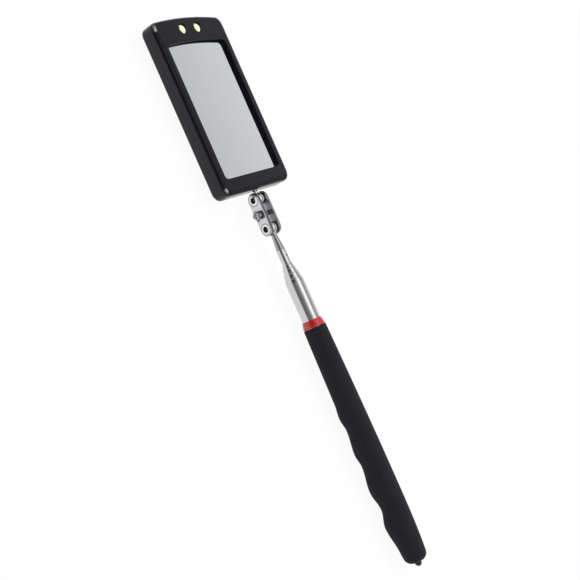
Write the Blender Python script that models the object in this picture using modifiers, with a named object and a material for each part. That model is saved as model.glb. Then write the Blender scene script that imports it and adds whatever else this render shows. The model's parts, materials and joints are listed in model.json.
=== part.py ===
"""Telescoping inspection mirror: a lit mirror head on a double-ball link and a five-section telescope.

Metres, +Z up. The tool lies collapsed along X, its head toward -X and its mirror facing +Z. Stations along
the tool are measured from the top of the head, widths and heights from the tool's axis.
"""

import math

import bmesh
import bpy
from mathutils import Matrix

# Telescope
TUBE_DIAMETER = 0.0094
TUBE_WALL = 0.0004
RUNNING_GAP = 0.00019
LIP_GAP = 0.00005
LIP_LENGTH = 0.0008
LIP_WALL = 0.0002
SWAGE_LENGTH = 0.0020
SECTION_REVEALS = (0.0028, 0.0027, 0.0022, 0.0077)
TUBE_REVEAL = 0.0223
BUSH_LENGTH = 0.0070
BUSH_GAP = 0.00005
SPIGOT_LENGTH = 0.0020
SPIGOT_GAP = 0.0001
NEST_GAP = 0.0007

# Ball rod in the innermost section
ROD_REACH = 0.0118
ROD_SHANK_LENGTH = 0.0060
ROD_SHOULDER_INSET = 0.00015
ROD_NECK_LENGTH = 0.0042
ROD_NECK_RADIUS = 0.0015
PIN_DIAMETER = 0.0008
PIN_DEPTH = 0.0035
PIN_INSET = 0.00005

# Double-ball link
BALL_RADIUS = 0.0032
STUD_NECK_RADIUS = 0.0011
BALL_SPACING = 0.0155
SOCKET_GAP = 0.00015
PLATE_END_RADIUS = 0.00365
PLATE_THICKNESS = 0.0016
PLATE_GAP = 0.0049
PLATE_EDGE = 0.0006
DOME_RADIUS = 0.0027
DOME_RISE = 0.0004
SEAT_HOLE_RADIUS = 0.0016
POCKET_SIDE = 0.0054
POCKET_DEPTH = 0.0009
WASHER_THICKNESS = 0.0004
WASHER_RADIUS = 0.0022
CLAMP_RADIUS = 0.00125
CLAMP_HEAD_RADIUS = 0.0022
CLAMP_HEAD_HEIGHT = 0.0034
CLAMP_HEAD_EDGE = 0.0004
CROSS_WIDTH = 0.0006
CROSS_DEPTH = 0.0009

# Handle
COLLAR_LENGTH = 0.0040
COLLAR_TOP_WALL = 0.00035
COLLAR_BASE_WALL = 0.00115
GRIP_LENGTH = 0.1256
GRIP_TOP_WALL = 0.0012
GRIP_SWELL_WALL = 0.00223
GRIP_SWELL_AT = 0.0860
GRIP_BUTT_WALL = 0.0010
# Crests and valleys of the finger side: distance from the butt, height over the plain sleeve
FINGER_WAVES = (
    (0.0868, 0.0),
    (0.0793, 0.00057),
    (0.0723, -0.00040),
    (0.0598, 0.00064),
    (0.0533, -0.00028),
    (0.0403, 0.00112),
    (0.0303, -0.00051),
    (0.0208, 0.00140),
    (0.0076, 0.00014),
)
WAVE_TURN = math.radians(39.5)
WAVE_SHARPNESS = 1.5
GRIP_TOP_ROUND = 0.0006
GRIP_END_ROUND = 0.0035
GRIP_END_WALL = 0.0035
PLUG_STEM_LENGTH = 0.0040
PLUG_FLANGE = 0.0012
NUB_RADIUS = 0.00175
NUB_REACH = 0.0024

# Head case
HEAD_LENGTH = 0.09235
HEAD_WIDTH = 0.0520
HEAD_THICKNESS = 0.0092
HEAD_CORNER = 0.0045
TOP_ARCH_RADIUS = 0.1850
FRONT_FILLET = 0.0023
REAR_FILLET = 0.0012
CASE_WALL = 0.0015
CASE_FLOOR = 0.0015
SEAM_GAP = 0.0001
SEAM_DROP = 0.0026
SIDE_BAND = 0.0045
TOP_BAND = 0.01315
BOTTOM_BAND = 0.0080
WINDOW_CORNER = 0.0020
HEAD_TO_BALL = 0.0048

# Mirror and its pad
GLASS_THICKNESS = 0.0019
GLASS_LAP = 0.0014
PAD_EDGE = 0.0020
PAD_GAP = 0.0005

# Lights
LED_DIAMETER = 0.0050
LED_HEIGHT = 0.0018
LED_SPACING = 0.0110
LED_FROM_TOP = 0.0064
LED_PANEL = 0.0013
LED_ENTRY = 0.0009
LED_GAP = 0.0002
BOARD_THICKNESS = 0.0008
BOARD_FROM_TOP = 0.0031
BOARD_HEIGHT = 0.0071
BOARD_GAP = 0.0003
BOARD_SIDE_GAP = 0.0010
POST_RADIUS = 0.0015
POST_INSET = 0.0040

# Switch
SWITCH_WIDTH = 0.0036
SWITCH_LENGTH = 0.0080
SWITCH_TRAVEL = 0.0030
KNOB_WIDTH = 0.0034
KNOB_LENGTH = 0.0030
KNOB_THICKNESS = 0.00055
STEM_SIDE = 0.0014
STEM_ENTRY = 0.0004
STEM_GAP = 0.0002
THUMB_MARGIN = 0.0008

# Cells, contacts and battery door
CELL_DIAMETER = 0.0200
CELL_THICKNESS = 0.0032
CELL_SPACING = 0.0220
CONTACT_THICKNESS = 0.0002
CONTACT_WIDTH = 0.0020
BRIDGE_WIDTH = 0.0060
BRIDGE_OVERLAP = 0.0035
DOOR_THICKNESS = 0.0012
DOOR_START = 0.0165
DOOR_MARGIN = 0.0010
DOOR_EAR = 0.0060
DOOR_GAP = 0.0002
TONGUE_REACH = 0.0014
TONGUE_THICKNESS = 0.0007
TONGUE_WIDTH = 0.0080
RIB_WIDTH = 0.0010
RIB_GAP = 0.0004
LEDGE_THICKNESS = 0.0013
LEDGE_OVERLAP = 0.0018

# Screws and nut
CASE_SCREW_RADIUS = 0.0010
CASE_SCREW_HEAD_RADIUS = 0.0018
CASE_SCREW_LENGTH = 0.0072
CASE_SCREW_EDGE = 0.0042
DOOR_SCREW_RADIUS = 0.0009
DOOR_SCREW_HEAD_RADIUS = 0.0017
DOOR_SCREW_HEAD_HEIGHT = 0.0006
SCREW_HEAD_HEIGHT = 0.0010
SINK_GAP = 0.0002
BOSS_RADIUS = 0.0022
STUD_RADIUS = 0.0015
STUD_FLARE_RADIUS = 0.0017
STUD_GAP = 0.00015
STUD_TAIL = 0.0004
NUT_ACROSS_FLATS = 0.0055
NUT_SIDES = 6
NUT_THICKNESS = 0.0024
NUT_GAP = 0.0003

# Clearances, overlap of joined solids, overshoot of cutters, and facets
SEAT = 0.0001
FIT = 0.0001
ROOT = 0.0003
THROUGH = 0.0010
WELD = 0.000001
FLAT_ANGLE = math.radians(0.3)
SHARP_ANGLE = math.radians(35)
ROUND = 24
SMALL_ROUND = 16
CORNER_STEPS = 6
CAP_STEPS = 4
ARCH_STEPS = 12
BALL_STEPS = 10
FILLET_STEPS = 4
EDGE_STEPS = 2
WAVE_STEPS = 4
STRAIGHT_STEPS = 3

# Sizes that follow from the driving dimensions
tube_count = len(SECTION_REVEALS) + 1
tube_radii = [TUBE_DIAMETER / 2 - i * (TUBE_WALL + RUNNING_GAP) for i in range(tube_count)]
ball_2 = HEAD_LENGTH + HEAD_TO_BALL
ball_1 = ball_2 + BALL_SPACING
rod_mouth = ball_1 + ROD_REACH
mouths = [rod_mouth + sum(SECTION_REVEALS[i:]) for i in range(tube_count)]
collar_top = mouths[0] + TUBE_REVEAL
grip_top = collar_top + COLLAR_LENGTH
grip_end = grip_top + GRIP_LENGTH
wave_knots = [(GRIP_LENGTH - reach, rise) for reach, rise in FINGER_WAVES]
tool_end = grip_end + NUB_REACH
tube_end = grip_end - GRIP_END_WALL - PLUG_FLANGE - 2 * SEAT
bush_stack = BUSH_LENGTH + SPIGOT_LENGTH + NEST_GAP
section_ends = [tube_end - PLUG_STEM_LENGTH - i * bush_stack for i in range(1, tube_count)]

case_front = HEAD_THICKNESS / 2
case_back = -case_front
floor_top = case_back + CASE_FLOOR
door_top = case_back + DOOR_THICKNESS
bridge_low = door_top + SEAT
bridge_top = bridge_low + CONTACT_THICKNESS
cell_low = bridge_top + SEAT
cell_top = cell_low + CELL_THICKNESS
contact_low = cell_top + SEAT
contact_top = contact_low + CONTACT_THICKNESS
glass_low = contact_top + 2 * SEAT
glass_top = glass_low + GLASS_THICKNESS
ledge = glass_top + SEAT
seam = ledge - SEAM_DROP
head_half = HEAD_WIDTH / 2
window_half = head_half - SIDE_BAND
window_end = HEAD_LENGTH - BOTTOM_BAND
glass_end = window_end + GLASS_LAP
top_middle = TOP_BAND / 2

screw_y = head_half - CASE_SCREW_EDGE
lower_screw_x = glass_end + SINK_GAP + BOSS_RADIUS + SEAT
case_screw_spots = [(x, y) for x in (top_middle, lower_screw_x) for y in (-screw_y, screw_y)]
screw_low = case_back + SEAT
screw_seat = screw_low + SCREW_HEAD_HEIGHT
screw_top = screw_seat + CASE_SCREW_LENGTH

led_panel_low = case_front - LED_PANEL
led_top = led_panel_low + LED_ENTRY
board_top = led_top - LED_HEIGHT - SEAT
board_low = board_top - BOARD_THICKNESS
board_half = screw_y - BOSS_RADIUS - BOARD_SIDE_GAP
board_end = BOARD_FROM_TOP + BOARD_HEIGHT
post_spots = [(top_middle, side * (board_half - POST_INSET)) for side in (-1, 1)]

cell_radius = CELL_DIAMETER / 2
cell_1_x = DOOR_START + DOOR_MARGIN + cell_radius
cell_2_x = cell_1_x + CELL_SPACING
door_end = cell_2_x + cell_radius + DOOR_EAR
door_half = cell_radius + DOOR_MARGIN
opening_half = door_half + DOOR_GAP
rib_low = opening_half + RIB_GAP
rib_high = rib_low + RIB_WIDTH
rail_low = rib_high + RIB_GAP
rail_high = rail_low + CONTACT_WIDTH
ledge_start = cell_2_x + cell_radius + DOOR_MARGIN - DOOR_GAP
ledge_end = door_end + DOOR_GAP + LEDGE_OVERLAP
ledge_low = door_top + SEAT
ledge_high = ledge_low + LEDGE_THICKNESS
door_screw_x = (ledge_start + door_end) / 2

wall_inside = HEAD_LENGTH - CASE_WALL
nut_high = wall_inside - NUT_GAP
nut_low = nut_high - NUT_THICKNESS
stud_low = nut_low - STUD_TAIL
nut_pocket_radius = NUT_ACROSS_FLATS / math.sqrt(3) + NUT_GAP

PARTS = "telescoping_inspection_mirror"
CUTTERS = "cutters"


def clear_scene():
    for obj in list(bpy.data.objects):
        bpy.data.objects.remove(obj, do_unlink=True)


def new_collection(name):
    made = bpy.data.collections.new(name)
    bpy.context.scene.collection.children.link(made)


def make_material(name, colour, roughness, metallic=0.0):
    material = bpy.data.materials.new(name)
    material.use_nodes = True
    shader = material.node_tree.nodes["Principled BSDF"]
    shader.inputs["Base Color"].default_value = (*colour, 1.0)
    shader.inputs["Roughness"].default_value = roughness
    shader.inputs["Metallic"].default_value = metallic
    return material


def joint_frame(name, x, parent=None, height=0.0):
    """An empty on the tool's axis at station x, under the frame that carries it."""
    frame = bpy.data.objects.new(name, None)
    frame.empty_display_size = TUBE_DIAMETER
    frame["station"] = x
    frame.parent = parent
    frame.location = (x - parent["station"], 0, 0) if parent else (x - tool_end / 2, 0, height)
    bpy.data.collections[PARTS].objects.link(frame)
    return frame


def add(name, mesh, material, frame, location=(0, 0, 0), rotation=(0, 0, 0)):
    """One piece of the tool, placed in its joint's frame."""
    piece = bpy.data.objects.new(name, mesh)
    mesh.name = name
    mesh.materials.clear()
    mesh.materials.append(material)
    mesh.shade_smooth()
    mesh.set_sharp_from_angle(angle=SHARP_ANGLE)
    piece.parent = frame
    piece.location = location
    piece.rotation_euler = rotation
    bpy.data.collections[PARTS].objects.link(piece)
    return piece


def add_turned(name, profile, material, frame, x=0.0, segments=ROUND):
    """A piece turned about the tool's axis. The profile's heights run toward the butt."""
    return add(name, turned(profile, segments), material, frame, (x, 0, 0), (0, math.pi / 2, 0))


def boolean(piece, mesh, operation):
    """Cuts a mesh, given in the piece's own frame, from the piece, or joins it on."""
    tool = bpy.data.objects.new(f"{piece.name}_{operation.lower()}_{len(piece.modifiers) + 1}", mesh)
    tool.parent = piece
    tool.hide_render = True
    tool.display_type = "WIRE"
    bpy.data.collections[CUTTERS].objects.link(tool)
    modifier = piece.modifiers.new(tool.name, "BOOLEAN")
    modifier.operation = operation
    modifier.solver = "EXACT"
    modifier.object = tool


def cut(piece, *meshes):
    for mesh in meshes:
        boolean(piece, mesh, "DIFFERENCE")


def join(piece, *meshes):
    for mesh in meshes:
        boolean(piece, mesh, "UNION")


def mesh_from(bm, name="shape"):
    mesh = bpy.data.meshes.new(name)
    bm.to_mesh(mesh)
    bm.free()
    return mesh


def box(x, y, z):
    """A box between three (low, high) pairs."""
    pairs = (x, y, z)
    middle = Matrix.Translation([(low + high) / 2 for low, high in pairs])
    size = Matrix.Diagonal([high - low for low, high in pairs] + [1])
    bm = bmesh.new()
    bmesh.ops.create_cube(bm, size=1, matrix=middle @ size)
    return mesh_from(bm)


def cylinders(radius, low, high, spots=((0, 0),), segments=SMALL_ROUND, turn=Matrix()):
    """Upright cylinders at the given spots, all turned together by a matrix."""
    bm = bmesh.new()
    for x, y in spots:
        place = turn @ Matrix.Translation((x, y, (low + high) / 2))
        bmesh.ops.create_cone(
            bm,
            cap_ends=True,
            segments=segments,
            radius1=radius,
            radius2=radius,
            depth=high - low,
            matrix=place,
        )
    return mesh_from(bm)


def spheres(radius, stations):
    bm = bmesh.new()
    for x in stations:
        place = Matrix.Translation((x, 0, 0))
        bmesh.ops.create_uvsphere(bm, u_segments=ROUND, v_segments=SMALL_ROUND, radius=radius, matrix=place)
    return mesh_from(bm)


def evaluated(guide):
    """The mesh that an object's curve or modifiers give, welded, with the object removed."""
    bpy.context.scene.collection.objects.link(guide)
    graph = bpy.context.evaluated_depsgraph_get()
    mesh = bpy.data.meshes.new_from_object(guide.evaluated_get(graph))
    bpy.data.objects.remove(guide)
    bm = bmesh.new()
    bm.from_mesh(mesh)
    bmesh.ops.remove_doubles(bm, verts=bm.verts, dist=WELD)
    bmesh.ops.dissolve_limit(bm, angle_limit=FLAT_ANGLE, verts=bm.verts, edges=bm.edges)
    bmesh.ops.recalc_face_normals(bm, faces=bm.faces)
    bm.to_mesh(mesh)
    bm.free()
    return mesh


def turned(profile, segments=ROUND):
    """A solid turned about Z. The (radius, height) profile runs down its outer side and up its bore."""
    mesh = bpy.data.meshes.new("profile")
    edges = [(i, i + 1) for i in range(len(profile) - 1)]
    if profile[0][0] > 0:
        edges.append((len(profile) - 1, 0))
    mesh.from_pydata([(radius, 0, height) for radius, height in profile], edges, [])
    guide = bpy.data.objects.new("profile", mesh)
    screw = guide.modifiers.new("turn", "SCREW")
    screw.steps = segments
    screw.render_steps = segments
    screw.use_merge_vertices = True
    screw.merge_threshold = WELD
    return evaluated(guide)


def slab(outline, low, high):
    """A flat outline of (x, y) points with a thickness from low to high."""
    curve = bpy.data.curves.new("outline", "CURVE")
    curve.dimensions = "2D"
    curve.fill_mode = "BOTH"
    curve.extrude = (high - low) / 2
    spline = curve.splines.new("POLY")
    spline.points.add(len(outline) - 1)
    spline.use_cyclic_u = True
    for point, (x, y) in zip(spline.points, outline):
        point.co = (x, y, 0, 1)
    mesh = evaluated(bpy.data.objects.new("outline", curve))
    mesh.transform(Matrix.Translation((0, 0, (low + high) / 2)))
    return mesh


def round_face(piece, height, radius, segments):
    """Rounds the edge of a slab's face at one height."""
    mesh = piece.data
    weights = mesh.attributes.new("bevel_weight_edge", "FLOAT", "EDGE")
    for edge in mesh.edges:
        level = all(abs(mesh.vertices[i].co.z - height) < SEAT for i in edge.vertices)
        weights.data[edge.index].value = float(level)
    bevel = piece.modifiers.new("round_face", "BEVEL")
    bevel.limit_method = "WEIGHT"
    bevel.width = radius
    bevel.segments = segments


def arc(centre, radius, start, end, steps):
    """Points along a circle, angles in radians."""
    angles = [start + (end - start) * i / steps for i in range(steps + 1)]
    return [(centre[0] + radius * math.cos(a), centre[1] + radius * math.sin(a)) for a in angles]


def head_outline(half_width, arch_radius, bottom, corner):
    """The head's shape: straight sides and bottom, round corners, and a top arched about one centre."""
    side = half_width - corner
    lean = math.asin(side / (arch_radius - corner))
    top = TOP_ARCH_RADIUS - math.sqrt((arch_radius - corner) ** 2 - side**2)
    low = bottom - corner
    quarter = math.pi / 2
    points = arc((low, -side), corner, -quarter, 0, CORNER_STEPS)
    points += arc((low, side), corner, 0, quarter, CORNER_STEPS)
    points += arc((top, side), corner, quarter, math.pi - lean, CORNER_STEPS)
    points += arc((TOP_ARCH_RADIUS, 0), arch_radius, math.pi - lean, math.pi + lean, ARCH_STEPS)[1:-1]
    points += arc((top, -side), corner, math.pi + lean, 3 * quarter, CORNER_STEPS)
    return points


def inset_outline(inset):
    return head_outline(
        head_half - inset, TOP_ARCH_RADIUS - inset, HEAD_LENGTH - inset, HEAD_CORNER - inset
    )


def window_outline(lap):
    return head_outline(
        window_half + lap, TOP_ARCH_RADIUS - TOP_BAND + lap, window_end + lap, WINDOW_CORNER + lap
    )


def ball_points(start, end):
    """(radius, height) points round a ball, angles from the butt-side pole."""
    angles = [start + (end - start) * i / BALL_STEPS for i in range(BALL_STEPS + 1)]
    return [(BALL_RADIUS * math.sin(a), BALL_RADIUS * math.cos(a)) for a in angles]


def blend(low, high, share):
    return low + (high - low) * share


def wave(share):
    """A smooth step from 0 to 1."""
    return (1 - math.cos(math.pi * share)) / 2


def sleeve_wall(s):
    """The plain sleeve's foam, s from its top: a slow swell, then a fall to the butt."""
    if s <= GRIP_SWELL_AT:
        return blend(GRIP_TOP_WALL, GRIP_SWELL_WALL, math.sin(math.pi / 2 * s / GRIP_SWELL_AT))
    return blend(GRIP_SWELL_WALL, GRIP_BUTT_WALL, ((s - GRIP_SWELL_AT) / (GRIP_LENGTH - GRIP_SWELL_AT)) ** 3)


def finger_wave(s):
    """Height of the finger side over the plain sleeve: smooth steps between crests and valleys."""
    knots = (*wave_knots, (GRIP_LENGTH, 0.0))
    for (start, first), (end, second) in zip(knots, knots[1:]):
        if start <= s <= end:
            return blend(first, second, wave((s - start) / (end - start)))
    return 0.0


def grip_radius(s, angle):
    """The grip's radius at s from its top, at an angle from the middle of the finger side."""
    lobe = ((1 + math.cos(angle)) / 2) ** WAVE_SHARPNESS
    radius = TUBE_DIAMETER / 2 + sleeve_wall(s) + lobe * finger_wave(s)
    for distance, edge in ((s, GRIP_TOP_ROUND), (GRIP_LENGTH - s, GRIP_END_ROUND)):
        if distance < edge:
            radius -= edge - math.sqrt(edge**2 - (edge - distance) ** 2)
    return radius


def grip_stations():
    """Places of the grip's rings: close round the ends, open on the straight, even within each wave."""
    quarter = [math.pi / 2 * i / CAP_STEPS for i in range(CAP_STEPS + 1)]
    wave_end = GRIP_LENGTH - GRIP_END_ROUND
    knots = [s for s, _ in wave_knots] + [wave_end]
    stations = [GRIP_TOP_ROUND * (1 - math.cos(a)) for a in quarter[::2]]
    stations += [blend(GRIP_TOP_ROUND, knots[0], i / STRAIGHT_STEPS) for i in range(1, STRAIGHT_STEPS)]
    for start, end in zip(knots, knots[1:]):
        stations += [blend(start, end, i / WAVE_STEPS) for i in range(WAVE_STEPS)]
    stations += [wave_end + GRIP_END_ROUND * math.sin(a) for a in quarter]
    return stations


def grip_mesh():
    """Rings lofted along the tool's axis, closed flat at both ends."""
    bm = bmesh.new()
    rings = []
    for s in grip_stations():
        ring = []
        for i in range(ROUND):
            angle = 2 * math.pi * i / ROUND
            radius = grip_radius(s, angle)
            turn = angle + WAVE_TURN
            ring.append(bm.verts.new((s, -radius * math.sin(turn), -radius * math.cos(turn))))
        rings.append(ring)
    for ring, following in zip(rings, rings[1:]):
        for i in range(ROUND):
            j = (i + 1) % ROUND
            bm.faces.new((ring[i], ring[j], following[j], following[i]))
    bm.faces.new(rings[0])
    bm.faces.new(rings[-1])
    bmesh.ops.recalc_face_normals(bm, faces=bm.faces)
    return mesh_from(bm)


def along_x():
    """Turns upright cylinders to lie along X."""
    return Matrix.Rotation(math.pi / 2, 4, "Y")


def tube_profile(index, length):
    """A section's wall. Every mouth but the innermost is swaged in to a lip that holds the next section."""
    outside = tube_radii[index]
    inside = outside - TUBE_WALL
    if index + 1 < tube_count:
        lip = tube_radii[index + 1] + LIP_GAP
        mouth = [(outside, SWAGE_LENGTH), (lip + LIP_WALL, 0)]
        mouth += [(lip, 0), (lip, LIP_LENGTH), (inside, SWAGE_LENGTH)]
    else:
        mouth = [(outside, ROD_SHOULDER_INSET), (outside - ROD_SHOULDER_INSET, 0), (inside, 0)]
    return [(outside, length), *mouth, (inside, length)]


def make_handle(frame, grip, chrome, foam, red, dark):
    add_turned("outer_tube", tube_profile(0, tube_end - mouths[0]), chrome, frame)

    bore = TUBE_DIAMETER / 2 + FIT
    top = bore - FIT + COLLAR_TOP_WALL
    base = bore - FIT + COLLAR_BASE_WALL
    length = COLLAR_LENGTH - SEAT
    edge = COLLAR_TOP_WALL / 2
    collar = [(base - edge, length), (base, length - edge), (top, edge), (top - edge, 0)]
    collar += [(bore, 0), (bore, length)]
    add_turned("collar", collar, red, frame, collar_top - mouths[0])

    sleeve = add("grip", grip, foam, frame, (grip_top - mouths[0], 0, 0))
    bore_depth = GRIP_LENGTH - GRIP_END_WALL
    cut(
        sleeve,
        cylinders(bore, -THROUGH, bore_depth, segments=ROUND, turn=along_x()),
        cylinders(NUB_RADIUS + FIT, 0, GRIP_LENGTH + THROUGH, turn=along_x()),
    )

    stem = TUBE_DIAMETER / 2 - TUBE_WALL - FIT
    angles = [math.pi / 2 * i / CAP_STEPS for i in range(CAP_STEPS + 1)]
    tip = [(NUB_RADIUS * math.sin(a), tool_end - NUB_RADIUS * (1 - math.cos(a))) for a in angles]
    flange_low = tube_end + SEAT
    flange_high = flange_low + PLUG_FLANGE
    plug = tip + [
        (NUB_RADIUS, flange_high),
        (TUBE_DIAMETER / 2, flange_high),
        (TUBE_DIAMETER / 2, flange_low),
        (stem, flange_low),
        (stem, tube_end - PLUG_STEM_LENGTH),
        (0, tube_end - PLUG_STEM_LENGTH),
    ]
    add_turned("end_plug", plug, dark, frame, -mouths[0])


def bush_profile(index):
    """A friction bush: a barrel running in the section outside, and a spigot in the section it closes."""
    barrel = tube_radii[index - 1] - TUBE_WALL - BUSH_GAP
    spigot = tube_radii[index] - TUBE_WALL - SPIGOT_GAP
    return [
        (0, BUSH_LENGTH),
        (barrel, BUSH_LENGTH),
        (barrel, SEAT),
        (spigot, SEAT),
        (spigot, -SPIGOT_LENGTH),
        (0, -SPIGOT_LENGTH),
    ]


def make_sections(handle, chrome, nylon):
    """The middle sections with their bushes, and the bush that the innermost section turns on."""
    frame = handle
    last = tube_count - 1
    for index in range(1, last + 1):
        name = f"section_{index + 1}"
        frame = joint_frame(f"{name}_slide", mouths[index], frame)
        length = section_ends[index - 1] - mouths[index]
        add_turned(f"{name}_bush", bush_profile(index), nylon, frame, length, SMALL_ROUND)
        if index < last:
            add_turned(name, tube_profile(index, length), chrome, frame)
    return frame


def make_rod(frame, chrome, steel):
    radius = tube_radii[-1]
    shank = radius - TUBE_WALL - SPIGOT_GAP
    shoulder = radius - ROD_SHOULDER_INSET
    seat = ROD_REACH - SEAT
    neck_angle = math.asin(ROD_NECK_RADIUS / BALL_RADIUS)
    profile = [
        (0, ROD_REACH + ROD_SHANK_LENGTH),
        (shank, ROD_REACH + ROD_SHANK_LENGTH),
        (shank, seat),
        (shoulder, seat),
        (ROD_NECK_RADIUS, ROD_NECK_LENGTH),
    ]
    rod = add_turned("rod_tip", profile + ball_points(neck_angle, math.pi), chrome, frame)
    wall = tube_profile(tube_count - 1, section_ends[-1] - rod_mouth)
    tube = add_turned(f"section_{tube_count}", wall, chrome, frame, ROD_REACH)

    pin_hole = PIN_DIAMETER / 2 + FIT
    for piece, pin_x in ((rod, ROD_REACH + PIN_DEPTH), (tube, PIN_DEPTH)):
        turn = Matrix.Translation((0, 0, pin_x)) @ along_x()
        cut(piece, cylinders(pin_hole, -radius - THROUGH, radius + THROUGH, turn=turn))
    reach = radius - PIN_INSET
    add("rod_pin", cylinders(PIN_DIAMETER / 2, -reach, reach), steel, frame, (ROD_REACH + PIN_DEPTH, 0, 0))


def plate_outline():
    """A straight-sided plate with round ends at both balls, x zero at the rod's ball."""
    steps = 2 * CORNER_STEPS
    quarter = math.pi / 2
    points = arc((0, 0), PLATE_END_RADIUS, -quarter, quarter, steps)
    return points + arc((-BALL_SPACING, 0), PLATE_END_RADIUS, quarter, 3 * quarter, steps)


def dome(face):
    """The low cap that stands out of a plate's outer face over a ball, rooted in the plate."""
    radius = (DOME_RADIUS**2 + DOME_RISE**2) / (2 * DOME_RISE)
    centre = face + DOME_RISE - radius
    end = math.asin(DOME_RADIUS / radius)
    angles = [end * i / CAP_STEPS for i in range(CAP_STEPS + 1)]
    cap = [(radius * math.sin(a), centre + radius * math.cos(a)) for a in angles]
    return cap + [(DOME_RADIUS, face - ROOT), (0, face - ROOT)]


def make_link(frame, nickel, steel):
    low = PLATE_GAP / 2
    high = low + PLATE_THICKNESS
    middle = -BALL_SPACING / 2
    pocket_floor = high - POCKET_DEPTH
    shank_hole = CLAMP_RADIUS + FIT
    facing = {"left": math.pi / 2, "right": -math.pi / 2}

    for side, turn in facing.items():
        blank = slab(plate_outline(), low, high)
        plate = add(f"link_plate_{side}", blank, nickel, frame, rotation=(turn, 0, 0))
        round_face(plate, high, PLATE_EDGE, EDGE_STEPS)
        for x in (0, -BALL_SPACING):
            cap = turned(dome(high))
            cap.transform(Matrix.Translation((x, 0, 0)))
            join(plate, cap)
        cut(
            plate,
            spheres(BALL_RADIUS + SOCKET_GAP, (0, -BALL_SPACING)),
            cylinders(SEAT_HOLE_RADIUS, low, high + BALL_RADIUS, ((0, 0), (-BALL_SPACING, 0))),
            cylinders(shank_hole, low - THROUGH, high + THROUGH, ((middle, 0),)),
        )
        if side == "left":
            half = POCKET_SIDE / 2
            cut(plate, box((middle - half, middle + half), (-half, half), (pocket_floor, high + THROUGH)))

    washer_low = pocket_floor + SEAT
    washer_high = washer_low + WASHER_THICKNESS
    washer = [
        (WASHER_RADIUS, washer_high),
        (WASHER_RADIUS, washer_low),
        (shank_hole, washer_low),
        (shank_hole, washer_high),
    ]
    facing_left = (facing["left"], 0, 0)
    add("link_washer", turned(washer, SMALL_ROUND), steel, frame, (middle, 0, 0), facing_left)

    head_low = washer_high + SEAT
    head_high = head_low + CLAMP_HEAD_HEIGHT
    flat = CLAMP_HEAD_RADIUS - CLAMP_HEAD_EDGE
    screw = [
        (0, head_high),
        (flat, head_high),
        (CLAMP_HEAD_RADIUS, head_high - CLAMP_HEAD_EDGE),
        (CLAMP_HEAD_RADIUS, head_low),
        (CLAMP_RADIUS, head_low),
        (CLAMP_RADIUS, -high),
        (0, -high),
    ]
    clamp = add("link_screw", turned(screw, SMALL_ROUND), steel, frame, (middle, 0, 0), facing_left)
    long = (-flat, flat)
    thin = (-CROSS_WIDTH / 2, CROSS_WIDTH / 2)
    depth = (head_high - CROSS_DEPTH, head_high + THROUGH)
    cut(clamp, box(long, thin, depth), box(thin, long, depth))


def make_stud(frame, chrome, steel):
    neck_angle = math.asin(STUD_NECK_RADIUS / BALL_RADIUS)
    face = -HEAD_TO_BALL + SEAT
    profile = ball_points(0, math.pi - neck_angle) + [
        (STUD_NECK_RADIUS, (face - BALL_RADIUS) / 2),
        (STUD_FLARE_RADIUS, face),
        (STUD_RADIUS, face),
        (STUD_RADIUS, stud_low - ball_2),
        (0, stud_low - ball_2),
    ]
    add_turned("head_stud", profile, chrome, frame)

    nut = cylinders(NUT_ACROSS_FLATS / math.sqrt(3), nut_low - ball_2, nut_high - ball_2, segments=NUT_SIDES)
    piece = add("stud_nut", nut, steel, frame, rotation=(0, math.pi / 2, 0))
    cut(piece, cylinders(STUD_RADIUS + FIT, nut_low - ball_2 - THROUGH, nut_high - ball_2 + THROUGH))


def stud_passage():
    """The hole for the ball stud through the bottom wall, and the pocket that its nut turns in."""
    hole = cylinders(STUD_RADIUS + STUD_GAP, stud_low, HEAD_LENGTH + THROUGH, turn=along_x())
    pocket = cylinders(nut_pocket_radius, stud_low - NUT_GAP, wall_inside, segments=ROUND, turn=along_x())
    return hole, pocket


def led_spots():
    return [(LED_FROM_TOP, side * LED_SPACING / 2) for side in (-1, 1)]


def make_bezel(frame, plastic):
    low = seam + SEAM_GAP / 2
    bezel = add("front_bezel", slab(inset_outline(0), low, case_front), plastic, frame)
    round_face(bezel, case_front, FRONT_FILLET, FILLET_STEPS)
    board_x = (BOARD_FROM_TOP - BOARD_GAP, board_end + BOARD_GAP)
    board_y = about(0, board_half + BOARD_GAP)
    cut(
        bezel,
        slab(inset_outline(CASE_WALL), low - THROUGH, ledge),
        slab(window_outline(0), low - THROUGH, case_front + THROUGH),
        box(board_x, board_y, (low - THROUGH, led_panel_low)),
        cylinders(LED_DIAMETER / 2 + LED_GAP, ledge, case_front + THROUGH, led_spots(), ROUND),
        cylinders(CASE_SCREW_RADIUS + FIT, low - THROUGH, screw_top + SINK_GAP, case_screw_spots),
        *stud_passage(),
    )


def about(middle, half):
    return (middle - half, middle + half)


def stem_slot(low, high):
    """The slot that the switch's stem travels in."""
    half_length = (SWITCH_TRAVEL + STEM_SIDE) / 2 + STEM_GAP
    return box(about(top_middle, STEM_SIDE / 2 + STEM_GAP), about(0, half_length), (low, high))


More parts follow.
